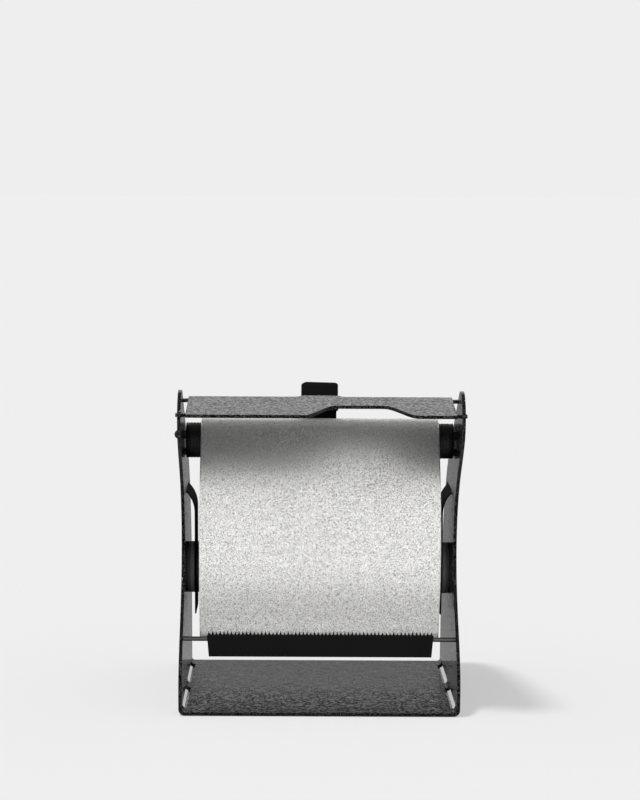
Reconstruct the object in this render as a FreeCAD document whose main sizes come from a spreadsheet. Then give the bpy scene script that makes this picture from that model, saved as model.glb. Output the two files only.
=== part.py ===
import FreeCAD, Part
import math
import os
import re

# Foil dispenser, in millimetres.
# X is the width, Y runs from the front edge to the back, Z is up.
# The origin is the middle of the base's underside.
# A size called ..._back is measured from the base's front edge towards the back.

V = FreeCAD.Vector
doc = FreeCAD.newDocument("foil_dispenser")
sheet = doc.addObject("Spreadsheet::Sheet", "Sizes")
aliases = []
sub_parts = []


def size(alias, value, meaning):
    """Write one driving dimension into the sheet, and return it as a number."""
    aliases.append(alias)
    row = len(aliases)
    sheet.set("A%d" % row, alias)
    sheet.set("B%d" % row, str(value))
    sheet.set("C%d" % row, meaning)
    sheet.setAlias("B%d" % row, alias)
    return value


def derive(alias, formula, meaning):
    """Write a size that follows from others, as a formula in the sheet, and return its value."""
    size(alias, "=" + formula, meaning)
    doc.recompute()
    return float(sheet.get(alias))


def bind(obj, prop, formula):
    """Bind a property to a formula in the sheet's names."""
    named = re.sub(r"[a-z][a-z_]+", lambda m: "Sizes." + m.group(0) if m.group(0) in aliases else m.group(0), formula)
    obj.setExpression(prop, named)


# Frame: one bent sheet
base_depth = size("base_depth", 126.0, "base, front edge to back edge")
sheet_thick = size("sheet_thick", 1.8, "steel sheet of frame and fold plate, with paint")
bend_radius = size("bend_radius", 1.6, "inside radius of the bends")
head_top = size("head_top", 169.5, "top of the side plates' heads")
head_radius = size("head_radius", 16.0, "round of the side plates' heads")
head_set = size("head_set", 0.8, "heads behind the front edge")
toe_height = size("toe_height", 9.0, "straight part of the front edge above the base")
waist_back = size("waist_back", 43.5, "deepest point of the front edge")
waist_height = size("waist_height", 87.0, "height of that point")
toe_pull = size("toe_pull", 30.0, "curve handle above the toe")
waist_pull = size("waist_pull", 38.0, "curve handles below and above the waist")
head_pull = size("head_pull", 18.5, "curve handle below the head")
back_radius = size("back_radius", 102.0, "large round of the back edge")
back_straight = size("back_straight", 48.0, "height where that round meets the straight back edge")
relief_margin = size("relief_margin", 11.0, "bend relief slots, from the sheet's edges")
relief_bridge = size("relief_bridge", 12.0, "metal left between the two slots of a bend")
relief_width = size("relief_width", 3.2, "width of the slots")

# Fold plate on top
fold_gap = size("fold_gap", 2.35, "fold plate's side to the inside of a side plate")
fold_length = size("fold_length", 40.0, "fold plate, front to back")
hinge_back = size("hinge_back", 5.6, "hinge axis of the fold plate")
hinge_height = size("hinge_height", 157.8, "height of that axis")
fold_lead = size("fold_lead", 2.8, "fold plate in front of its hinge axis")
tab_width = size("tab_width", 2.6, "width of a hinge tab")
tab_out = size("tab_out", 1.1, "hinge tab past the side plate")
tab_clear = size("tab_clear", 0.2, "hinge tab's corners to its hole")
ear_back = size("ear_back", 30.0, "resting ears, from the hinge axis")
ear_width = size("ear_width", 2.5, "width of an ear")
ear_in = size("ear_in", 0.4, "ear short of the side plate's outside")
notch_right = size("notch_right", 20.5, "middle of the thumb notch, from the middle of the plate")
notch_floor = size("notch_floor", 24.0, "thumb notch's flat part")
notch_mouth = size("notch_mouth", 60.0, "thumb notch at the front edge")
notch_depth = size("notch_depth", 20.5, "thumb notch, front to back")
notch_bend = size("notch_bend", 6.5, "curve handles of the notch's sides")
tongue_width = size("tongue_width", 27.0, "low tongue in the middle of the rear edge")
tongue_long = size("tongue_long", 2.8, "tongue past the rear edge")
tongue_slope = size("tongue_slope", 5.0, "tongue's soft shoulders, side to side")

# Roller on its axle
axle_back = size("axle_back", 55.0, "roller axle")
axle_height = size("axle_height", 142.0, "roller axle's height")
axle_thick = size("axle_thick", 4.5, "axle diameter between the side plates")
axle_end = size("axle_end", 2.5, "axle diameter at its threaded ends")
nut_flats = size("nut_flats", 5.0, "cap nut across its flats")
nut_hex = size("nut_hex", 1.7, "height of the nut's hexagon")
roller_bore = size("roller_bore", 10.5, "bore of the roller's core")
roller_wall = size("roller_wall", 1.5, "wall of the core")
roller_out = size("roller_out", 19.0, "roller diameter over its sleeve")
roller_gap = size("roller_gap", 0.5, "roller's end to the side plate")

# Foil and its core
roll_in = size("roll_in", 46.0, "axis of the foil roll, in front of the base's back edge")
roll_height = size("roll_height", 65.3, "height of that axis")
foil_width = size("foil_width", 127.0, "width of the foil")
roll_radius = size("roll_radius", 40.0, "outside radius of the wound foil")
core_bore = size("core_bore", 25.4, "bore of the cardboard core")
core_wall = size("core_wall", 2.0, "wall of the core")
web_thick = size("web_thick", 0.25, "foil with its embossing")
web_gap = size("web_gap", 0.3, "hanging foil to the roll")
web_stand = size("web_stand", 1.5, "radius of the foil's loop over the roller's own")
web_ahead = size("web_ahead", 0.9, "middle of the loop in front of the roller's")
web_up = size("web_up", 0.9, "middle of the loop above the roller's")
web_belly_back = size("web_belly_back", 14.2, "foremost line of the hanging foil")
web_belly_height = size("web_belly_height", 74.0, "height of that line")
web_end_back = size("web_end_back", 22.2, "lower end of the hanging foil")
web_end_height = size("web_end_height", 37.8, "height of that end")
web_leave = size("web_leave", 52.0, "degrees past the roller's top where the foil hangs free")
web_first_pull = size("web_first_pull", 16.0, "curve handle below the roller")
web_belly_pull = size("web_belly_pull", 38.0, "curve handle above the foremost line")
web_lower_pull = size("web_lower_pull", 14.0, "curve handle below it")
web_lean = size("web_lean", 0.6, "last curve handle in front of the end")
web_drop = size("web_drop", 12.0, "last curve handle above the end")

# Straps that carry the roll
arm_width = size("arm_width", 32.0, "strap, front to back")
arm_thick = size("arm_thick", 0.6, "strap's sheet")
arm_below = size("arm_below", 24.0, "strap below the roll's axis")
arm_round = size("arm_round", 3.0, "round of the strap's lower corners")
arm_in = size("arm_in", 4.3, "strap to the side plate's inside")
arm_top = size("arm_top", 109.6, "height where the strap's middle enters the side plate")
arm_bend = size("arm_bend", 16.2, "inside radius of the strap's shoulder")
lip_bend = size("lip_bend", 0.5, "inside radius of the strap's hook")
lip_drop = size("lip_drop", 5.0, "straight part of the hook outside the plate")
arm_clear = size("arm_clear", 0.3, "hook's lip to the plate")
slot_side = size("slot_side", 0.7, "slot past the strap's sides")
slot_below = size("slot_below", 0.45, "slot below the strap")
slot_above = size("slot_above", 0.6, "slot above the strap")
hub_flange = size("hub_flange", 28.4, "diameter of the plug's flange and of the pad")
hub_gap = size("hub_gap", 0.5, "flange to the end of the core")
flange_long = size("flange_long", 3.3, "thickness of the plug's flange")
hub_clear = size("hub_clear", 0.5, "plug to the core's bore, all round")
nose_long = size("nose_long", 2.3, "plug past its flange")
nose_taper = size("nose_taper", 1.7, "plug's radius lost at its tip")
rivet_thick = size("rivet_thick", 4.0, "hub rivet's shank")
rivet_head = size("rivet_head", 7.0, "hub rivet's heads")
head_thick = size("head_thick", 1.0, "thickness of rivet heads")
pad_bore = size("pad_bore", 9.0, "hole in the pad for the rivet's head")

# Brake lever behind the roller
pivot_back = size("pivot_back", 71.0, "lever rod")
pivot_height = size("pivot_height", 131.0, "lever rod's height")
pivot_thick = size("pivot_thick", 4.0, "lever rod's diameter")
run_clear = size("run_clear", 0.05, "running clearance, all round")
fit_clear = size("fit_clear", 0.05, "between tubes that sit tight on one another, all round")
lever_width = size("lever_width", 18.5, "lever, side to side")
lever_thick = size("lever_thick", 1.5, "lever's sheet")
lever_reach = size("lever_reach", 37.0, "lever above its rod, inside the finger sleeve")
shoe_angle = size("shoe_angle", 69.5, "degrees above level where the shoe meets the roll")
shoe_long = size("shoe_long", 14.0, "brake shoe along the roll's surface")
shoe_thick = size("shoe_thick", 4.0, "brake shoe at its middle")
shoe_gap = size("shoe_gap", 0.3, "brake shoe to the wound foil")
shoe_rivet_thick = size("shoe_rivet_thick", 2.5, "shoe rivet's shank")
sleeve_cap = size("sleeve_cap", 1.5, "finger sleeve past the lever's top")
sleeve_long = size("sleeve_long", 16.0, "finger sleeve's height")
sleeve_width = size("sleeve_width", 20.6, "finger sleeve, side to side")
sleeve_thick = size("sleeve_thick", 5.0, "finger sleeve, front to back")
sleeve_round = size("sleeve_round", 1.4, "rounding of the finger sleeve")
collar_out = size("collar_out", 11.0, "lever collars' diameter")
collar_long = size("collar_long", 5.0, "lever collars' length")
collar_gap = size("collar_gap", 0.3, "collar to lever")
spring_wire = size("spring_wire", 0.9, "lever spring's wire")
spring_mean = size("spring_mean", 3.4, "lever spring's mean radius")
spring_turns = size("spring_turns", 5, "lever spring's turns")
spring_pitch = size("spring_pitch", 1.4, "lever spring's pitch")
spring_bend = size("spring_bend", 1.0, "radius of the bends at the spring's ends")
spring_leg = size("spring_leg", 13.0, "spring's leg from the coil to its hook")
spring_hook = size("spring_hook", 4.0, "straight end of the hook, in front of the lever")
spring_pin = size("spring_pin", 3.0, "straight end in the collar's hole")
clip_out = size("clip_out", 8.0, "rod clips' diameter")
clip_thick = size("clip_thick", 0.8, "rod clips' thickness")

# Cutter on its rod
cutter_rod_back = size("cutter_rod_back", 18.8, "cutter rod")
cutter_rod_height = size("cutter_rod_height", 37.4, "cutter rod's height")
cutter_rod_thick = size("cutter_rod_thick", 2.4, "cutter rod's diameter")
cutter_short = size("cutter_short", 3.5, "cutter bar short of the foil, at each side")
cutter_right = size("cutter_right", 0.5, "cutter bar slid to the right on its rod")
cutter_thick = size("cutter_thick", 3.8, "cutter bar, front to back")
cutter_below = size("cutter_below", 9.3, "cutter bar below its rod's axis")
cutter_above = size("cutter_above", 2.1, "cutter bar above its rod's axis")
cutter_taper = size("cutter_taper", 0.9, "cutter bar's ends drawn in at the bottom")
tooth_high = size("tooth_high", 2.3, "height of a tooth")
tooth_pitch = size("tooth_pitch", 2.0, "tooth to tooth")
tooth_thick = size("tooth_thick", 1.0, "thickness of the toothed edge")

# Sizes that follow from the others
outer_width = derive(
    "outer_width",
    "foil_width + 2 * (hub_gap + flange_long + arm_thick + arm_in + sheet_thick)",
    "across the outsides of the side plates",
)
fold_width = derive("fold_width", "outer_width - 2 * (sheet_thick + fold_gap)", "fold plate, side to side")
roll_back = derive("roll_back", "base_depth - roll_in", "axis of the foil roll")
lever_top = derive("lever_top", "pivot_height + lever_reach", "top of the lever")
sleeve_top = derive("sleeve_top", "lever_top + sleeve_cap", "top of the finger sleeve")
cutter_long = derive("cutter_long", "foil_width - 2 * cutter_short", "cutter bar, side to side")

# Places worked out from the sizes
half_out = outer_width / 2
half_in = half_out - sheet_thick
half_foil = foil_width / 2
roller_hang = roller_bore / 2 - axle_thick / 2 - run_clear
roller_height = axle_height - roller_hang
HANG = "(roller_bore / 2 - axle_thick / 2 - run_clear)"
HALF_IN = "(outer_width / 2 - sheet_thick)"


def from_front(back):
    """Y of a place given from the base's front edge."""
    return back - base_depth / 2


def keep(obj, node):
    """Name a sub-part, which also names its file."""
    obj.Label = node
    sub_parts.append(obj)
    return obj


def new_body(name):
    return doc.addObject("PartDesign::Body", name)


def new_sketch(body, name, role, edges):
    """A sketch on one of the body's own origin planes, from edges given in that plane."""
    sketch = body.newObject("Sketcher::SketchObject", name)
    plane = [f for f in body.Origin.OriginFeatures if f.Role == role][0]
    sketch.AttachmentSupport = (plane, [""])
    sketch.MapMode = "FlatFace"
    for edge in edges:
        sketch.addGeometry(edge, False)
    return sketch


def new_pad(body, name, sketch, length):
    pad = body.newObject("PartDesign::Pad", name)
    pad.Profile = sketch
    pad.SideType = "Symmetric"
    bind(pad, "Length", length)
    doc.recompute()
    return pad


def new_pocket(body, name, sketch):
    """Cut a sketch right through the body, and make sure that it took something away."""
    before = body.Shape.Volume
    pocket = body.newObject("PartDesign::Pocket", name)
    pocket.Profile = sketch
    pocket.SideType = "Symmetric"
    pocket.Type = "ThroughAll"
    doc.recompute()
    if body.Shape.Volume >= before:
        raise RuntimeError(name + " cut nothing")
    return pocket


def polygon(points):
    """Closed run of straight edges through points in a plane."""
    ends = points[1:] + points[:1]
    return [Part.LineSegment(V(a[0], a[1], 0), V(b[0], b[1], 0)) for a, b in zip(points, ends)]


def arc(centre, radius, start, end):
    """Arc in a plane, anticlockwise, in degrees."""
    circle = Part.Circle(V(centre[0], centre[1], 0), V(0, 0, 1), radius)
    return Part.ArcOfCircle(circle, math.radians(start), math.radians(end))


def hole(back, height, radius):
    """Circle for a cross hole, in the plane of a side plate."""
    return Part.Circle(V(from_front(back), height, 0), V(0, 0, 1), radius)


def place_along_x(obj, start, back, height):
    """Lay a primitive's own axis along X, from a starting X, at a depth and height."""
    obj.Placement = FreeCAD.Placement(V(), FreeCAD.Rotation(V(0, 1, 0), 90))
    bind(obj, ".Placement.Base.x", start)
    bind(obj, ".Placement.Base.y", back + " - base_depth / 2")
    bind(obj, ".Placement.Base.z", height)


def cross_cylinder(name, radius, length, start, back, height):
    cylinder = doc.addObject("Part::Cylinder", name)
    bind(cylinder, "Radius", radius)
    bind(cylinder, "Height", length)
    place_along_x(cylinder, start, back, height)
    return cylinder


def cut(name, base, tool):
    result = doc.addObject("Part::Cut", name)
    result.Base = base
    result.Tool = tool
    return result


def fuse(name, shapes):
    result = doc.addObject("Part::MultiFuse", name)
    result.Shapes = shapes
    return result


def group(name, shapes):
    """Several solids in one node, each still a solid of its own."""
    result = doc.addObject("Part::Compound", name)
    result.Links = shapes
    return result


def cross_tube(name, outer, inner, length, start, back, height):
    solid = cross_cylinder(name + "_solid", outer, length, start, back, height)
    bore = cross_cylinder(name + "_bore", inner, length, start, back, height)
    return cut(name, solid, bore)


def biarc(a, ta, b, tb):
    """Two arcs in space that leave a along ta and reach b along tb, both unit vectors."""
    gap = b - a
    both = ta + tb
    square = 2 * (1 - ta.dot(tb))
    lean = gap.dot(both)
    reach = (-lean + math.sqrt(lean * lean + square * gap.dot(gap))) / square
    middle = (a + b + (ta - tb) * reach) * 0.5
    arcs = []
    for start, way, end in ((a, ta, middle), (middle, None, b)):
        near = a if way else b
        far = end if way else start
        out = way if way else tb * -1
        chord = far - near
        normal = chord - out * chord.dot(out)
        radius = chord.dot(chord) / (2 * normal.Length)
        hub = near + normal.normalize() * radius
        bulge = ((near + far) * 0.5 - hub).normalize() * radius
        arcs.append(Part.Arc(start, hub + bulge, end).toShape())
    return arcs


# The side plate's outline

head_centre = (from_front(head_set + head_radius), head_top - head_radius)
back_centre = (from_front(base_depth - back_radius), back_straight)


def top_edge():
    """Outward normal of the straight top edge that touches the head's round and the back's round."""
    run = back_centre[0] - head_centre[0]
    fall = back_centre[1] - head_centre[1]
    apart = math.hypot(run, fall)
    along = (run / apart, fall / apart)
    lean = (head_radius - back_radius) / apart
    side = math.sqrt(1 - lean * lean)
    return (along[0] * lean - along[1] * side, along[1] * lean + along[0] * side)


edge_normal = top_edge()


def curve(points):
    """Smooth edge with its first and last points on it and the others as handles."""
    bezier = Part.BezierCurve()
    bezier.setPoles([V(p[0], p[1], 0) for p in points])
    return bezier.toBSpline()


def side_plate_outline():
    front = from_front(0)
    rear = from_front(base_depth)
    waist = from_front(waist_back)
    brow = head_centre[0] - head_radius
    turn = math.degrees(math.atan2(edge_normal[1], edge_normal[0]))
    head_end = (head_centre[0] + head_radius * edge_normal[0], head_centre[1] + head_radius * edge_normal[1])
    back_start = (back_centre[0] + back_radius * edge_normal[0], back_centre[1] + back_radius * edge_normal[1])
    return [
        Part.LineSegment(V(rear, 0, 0), V(front, 0, 0)),
        Part.LineSegment(V(front, 0, 0), V(front, toe_height, 0)),
        curve([
            (front, toe_height),
            (front, toe_height + toe_pull),
            (waist, waist_height - waist_pull),
            (waist, waist_height),
        ]),
        curve([
            (waist, waist_height),
            (waist, waist_height + waist_pull),
            (brow, head_centre[1] - head_pull),
            (brow, head_centre[1]),
        ]),
        arc(head_centre, head_radius, turn, 180),
        Part.LineSegment(V(head_end[0], head_end[1], 0), V(back_start[0], back_start[1], 0)),
        arc(back_centre, back_radius, 0, turn),
        Part.LineSegment(V(rear, back_straight, 0), V(rear, 0, 0)),
    ]


def inside_outline():
    """The space between the side plates, with the bends' inside rounds at its lower corners."""
    above = head_top + sheet_thick
    low = sheet_thick
    round_x = half_in - bend_radius
    round_z = sheet_thick + bend_radius
    return [
        Part.LineSegment(V(-half_in, above, 0), V(-half_in, round_z, 0)),
        arc((-round_x, round_z), bend_radius, 180, 270),
        Part.LineSegment(V(-round_x, low, 0), V(round_x, low, 0)),
        arc((round_x, round_z), bend_radius, 270, 360),
        Part.LineSegment(V(half_in, round_z, 0), V(half_in, above, 0)),
        Part.LineSegment(V(half_in, above, 0), V(-half_in, above, 0)),
    ]


def arm_bends():
    """Turn of a strap's shoulder, the height where it starts, and the middle of the hook's bend."""
    middle = arm_thick / 2
    turn = math.acos(1 - (arm_in + middle) / (arm_bend + middle))
    start = arm_top - (arm_bend + middle) * math.sin(turn)
    radius = lip_bend + middle
    hook_x = half_out + arm_clear - lip_bend
    through = hook_x - radius * math.cos(turn) - half_in
    hook_z = arm_top + through / math.tan(turn) - radius * math.sin(turn)
    return turn, start, hook_x, hook_z


def make_frame():
    body = new_body("frame_sheet")
    outline = new_sketch(body, "side_outline", "YZ_Plane", side_plate_outline())
    new_pad(body, "blank", outline, "outer_width")
    inside = new_sketch(body, "inside", "XZ_Plane", inside_outline())
    hollow = new_pocket(body, "hollow", inside)

    corners = []
    for number, edge in enumerate(hollow.Shape.Edges, 1):
        box = edge.BoundBox
        if box.ZMax < 0.001 and box.XLength < 0.001 and box.YLength > base_depth / 2:
            corners.append("Edge%d" % number)
    bends = body.newObject("PartDesign::Fillet", "bends")
    bends.Base = (hollow, corners)
    bind(bends, "Radius", "bend_radius + sheet_thick")
    doc.recompute()

    tab_hole = math.hypot(tab_width, sheet_thick) / 2 + tab_clear
    holes = [
        hole(hinge_back, hinge_height, tab_hole),
        hole(axle_back, axle_height, axle_end / 2 + run_clear),
        hole(pivot_back, pivot_height, pivot_thick / 2 + run_clear),
        hole(cutter_rod_back, cutter_rod_height, cutter_rod_thick / 2 + run_clear),
    ]
    new_pocket(body, "cross_holes", new_sketch(body, "hole_circles", "YZ_Plane", holes))

    turn, _, _, hook_z = arm_bends()
    side = arm_width / 2 + slot_side
    low = arm_top - arm_thick / 2 / math.sin(turn) - slot_below
    high = hook_z + lip_bend + arm_thick + slot_above
    middle = from_front(roll_back)
    slot = polygon([(middle - side, low), (middle + side, low), (middle + side, high), (middle - side, high)])
    new_pocket(body, "strap_slots", new_sketch(body, "strap_slot", "YZ_Plane", slot))

    # Each relief is a box turned 45 degrees, with its middle in the middle of the bent sheet.
    slot_long = "(base_depth - 2 * relief_margin - relief_bridge) / 2"
    bend_middle = "(bend_radius + sheet_thick - (bend_radius + sheet_thick / 2) * cos(45))"
    far = "(sheet_thick * 1.5 + relief_width / 2) * cos(45)"
    near = "(sheet_thick * 1.5 - relief_width / 2) * cos(45)"
    reliefs = []
    for side_name, turned, across, above in (
        ("left", 45, "-outer_width / 2 + " + bend_middle + " - " + far, bend_middle + " - " + near),
        ("right", -45, "outer_width / 2 - " + bend_middle + " + " + near, bend_middle + " - " + far),
    ):
        for end_name, start in (
            ("front", "relief_margin - base_depth / 2"),
            ("rear", "relief_bridge / 2"),
        ):
            box = doc.addObject("Part::Box", "relief_%s_%s" % (side_name, end_name))
            bind(box, "Width", slot_long)
            bind(box, "Length", "relief_width")
            bind(box, "Height", "sheet_thick * 3")
            box.Placement = FreeCAD.Placement(V(), FreeCAD.Rotation(V(0, 1, 0), turned))
            bind(box, ".Placement.Base.x", across)
            bind(box, ".Placement.Base.y", start)
            bind(box, ".Placement.Base.z", above)
            reliefs.append(box)
    return keep(cut("frame", body, fuse("bend_reliefs", reliefs)), "frame")


def fold_tilt():
    """Angle at which the fold plate's ears lie a clearance above the side plates' top edge."""
    top_line = edge_normal[0] * head_centre[0] + edge_normal[1] * head_centre[1] + head_radius
    hinge_line = edge_normal[0] * from_front(hinge_back) + edge_normal[1] * hinge_height
    low = sheet_thick / 2
    cosine = edge_normal[0] * ear_back - edge_normal[1] * low
    sine = edge_normal[0] * low + edge_normal[1] * ear_back
    reach = top_line + arm_clear - hinge_line
    return math.degrees(math.atan2(sine, cosine) - math.acos(reach / math.hypot(cosine, sine)))


def make_fold_plate():
    body = new_body("fold_plate_body")
    side = fold_width / 2
    front = -fold_lead
    rear = fold_length - fold_lead
    tab = half_out + tab_out
    ear = half_out - ear_in
    ear_end = ear_back + ear_width
    slope = (notch_mouth - notch_floor) / 2
    mouth_left = notch_right - notch_mouth / 2
    mouth_right = notch_right + notch_mouth / 2
    floor = front + notch_depth

    def line(a, b):
        return Part.LineSegment(V(a[0], a[1], 0), V(b[0], b[1], 0))

    def swoop(a, b, pull):
        """Soft step from one level to another, level at both ends."""
        way = math.copysign(pull, b[0] - a[0])
        return curve([a, (a[0] + way, a[1]), (b[0] - way, b[1]), b])

    half_tab = tab_width / 2
    right = [
        (side, front), (side, -half_tab), (tab, -half_tab), (tab, half_tab), (side, half_tab),
        (side, ear_back), (ear, ear_back), (ear, ear_end), (side, ear_end), (side, rear),
    ]
    foot = tongue_width / 2
    crest = foot - tongue_slope
    left = [(-x, y) for x, y in reversed(right)]
    edges = [line(a, b) for run in (right, left) for a, b in zip(run, run[1:])]
    edges += [
        line((side, rear), (foot, rear)),
        swoop((foot, rear), (crest, rear + tongue_long), tongue_slope / 2),
        line((crest, rear + tongue_long), (-crest, rear + tongue_long)),
        swoop((-crest, rear + tongue_long), (-foot, rear), tongue_slope / 2),
        line((-foot, rear), (-side, rear)),
    ]
    left_floor = (mouth_left + slope, floor)
    right_floor = (mouth_right - slope, floor)
    edges += [
        line((-side, front), (mouth_left, front)),
        swoop((mouth_left, front), left_floor, notch_bend),
        line(left_floor, right_floor),
        swoop(right_floor, (mouth_right, front), notch_bend),
        line((mouth_right, front), (side, front)),
    ]
    outline = new_sketch(body, "fold_outline", "XY_Plane", edges)
    new_pad(body, "fold_sheet", outline, "sheet_thick")
    body.Placement = FreeCAD.Placement(V(), FreeCAD.Rotation(V(1, 0, 0), fold_tilt()))
    bind(body, ".Placement.Base.y", "hinge_back - base_depth / 2")
    bind(body, ".Placement.Base.z", "hinge_height")
    return keep(body, "fold_plate")


def make_roller():
    shaft = cross_cylinder(
        "axle_shaft", "axle_thick / 2", "outer_width - 2 * sheet_thick", "-" + HALF_IN, "axle_back", "axle_height"
    )
    thread_out = "(outer_width / 2 + nut_hex)"
    thread = cross_cylinder(
        "axle_thread", "axle_end / 2", "2 * " + thread_out, "-" + thread_out, "axle_back", "axle_height"
    )
    keep(fuse("roller_axle", [shaft, thread]), "roller_axle")

    nuts = []
    for side_name, turn, start in (("left", -90, "-outer_width / 2"), ("right", 90, "outer_width / 2")):
        sign = "-" if turn < 0 else "+"
        hexagon = doc.addObject("Part::Prism", "nut_hexagon_" + side_name)
        hexagon.Polygon = 6
        bind(hexagon, "Circumradius", "nut_flats / 2 / cos(30)")
        bind(hexagon, "Height", "nut_hex")
        dome = doc.addObject("Part::Sphere", "nut_dome_" + side_name)
        dome.Angle1 = 0
        bind(dome, "Radius", "nut_flats / 2")
        bore = doc.addObject("Part::Cylinder", "nut_bore_" + side_name)
        bind(bore, "Radius", "axle_end / 2 + run_clear")
        bind(bore, "Height", "nut_hex + run_clear")
        for piece in (hexagon, dome, bore):
            piece.Placement = FreeCAD.Placement(V(), FreeCAD.Rotation(V(0, 1, 0), turn))
            bind(piece, ".Placement.Base.x", start)
            bind(piece, ".Placement.Base.y", "axle_back - base_depth / 2")
            bind(piece, ".Placement.Base.z", "axle_height")
        bind(dome, ".Placement.Base.x", start + " " + sign + " nut_hex")
        nuts.append(cut("cap_nut_" + side_name, fuse("nut_solid_" + side_name, [hexagon, dome]), bore))
    keep(group("axle_nuts", nuts), "axle_nuts")

    roller_long = "(outer_width - 2 * sheet_thick - 2 * roller_gap)"
    tube_height = "axle_height - " + HANG
    core = cross_tube(
        "roller_core_tube", "roller_bore / 2 + roller_wall", "roller_bore / 2",
        roller_long, "-" + roller_long + " / 2", "axle_back", tube_height,
    )
    keep(core, "roller_core")
    sleeve = cross_tube(
        "roller_sleeve_tube", "roller_out / 2", "roller_bore / 2 + roller_wall + fit_clear",
        roller_long, "-" + roller_long + " / 2", "axle_back", tube_height,
    )
    keep(sleeve, "roller_sleeve")


def make_foil_roll():
    core = cross_tube(
        "core_tube", "core_bore / 2 + core_wall", "core_bore / 2",
        "foil_width", "-foil_width / 2", "roll_back", "roll_height",
    )
    keep(core, "foil_core")
    roll = cross_tube(
        "wound_foil", "roll_radius", "core_bore / 2 + core_wall + fit_clear",
        "foil_width", "-foil_width / 2", "roll_back", "roll_height",
    )
    keep(roll, "foil_roll")


def make_foil_web():
    """Free end of the foil: up from the roll's front, over the roller and down to the cutter."""
    def spot(y, z):
        return V(0, y, z)

    def round_point(centre, radius, angle):
        return centre + V(0, math.cos(angle), math.sin(angle)) * radius

    roll = spot(from_front(roll_back), roll_height)
    loop = spot(from_front(axle_back) - web_ahead, roller_height + web_up)
    roll_path = roll_radius + web_gap + web_thick
    over = roller_out / 2 + web_stand
    # The foil crosses from the roll's front to the roller's back, which leans it off the centre line.
    line = roll - loop
    lean = math.asin((roll_path + over) / line.Length)
    first = math.atan2(line.z, line.y) - lean + math.pi / 2
    last = math.radians(90 + web_leave)
    touch_roll = round_point(roll, -roll_path, first)
    touch_roller = round_point(loop, over, first)
    top = round_point(loop, over, (first + last) / 2)
    start = round_point(loop, over, last)
    edges = [
        Part.LineSegment(touch_roll, touch_roller).toShape(),
        Part.Arc(touch_roller, top, start).toShape(),
    ]

    belly = spot(from_front(web_belly_back), web_belly_height)
    end = spot(from_front(web_end_back), web_end_height)
    heading = V(0, -math.sin(last), math.cos(last))
    for poles in (
        [start, start + heading * web_first_pull, belly + V(0, 0, web_belly_pull), belly],
        [belly, belly - V(0, 0, web_lower_pull), end + V(0, -web_lean, web_drop), end],
    ):
        bezier = Part.BezierCurve()
        bezier.setPoles(poles)
        for step in range(3):
            a = step / 3
            b = (step + 1) / 3
            edges += biarc(bezier.value(a), bezier.tangent(a)[0], bezier.value(b), bezier.tangent(b)[0])
    path = Part.Wire(edges)
    path.translate(V(-half_foil, 0, 0))
    web = doc.addObject("Part::Feature", "foil_web_sheet")
    web.Shape = path.makeOffset2D(web_thick, 0, True, True, True).extrude(V(foil_width, 0, 0))
    return keep(web, "foil_web")


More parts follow.
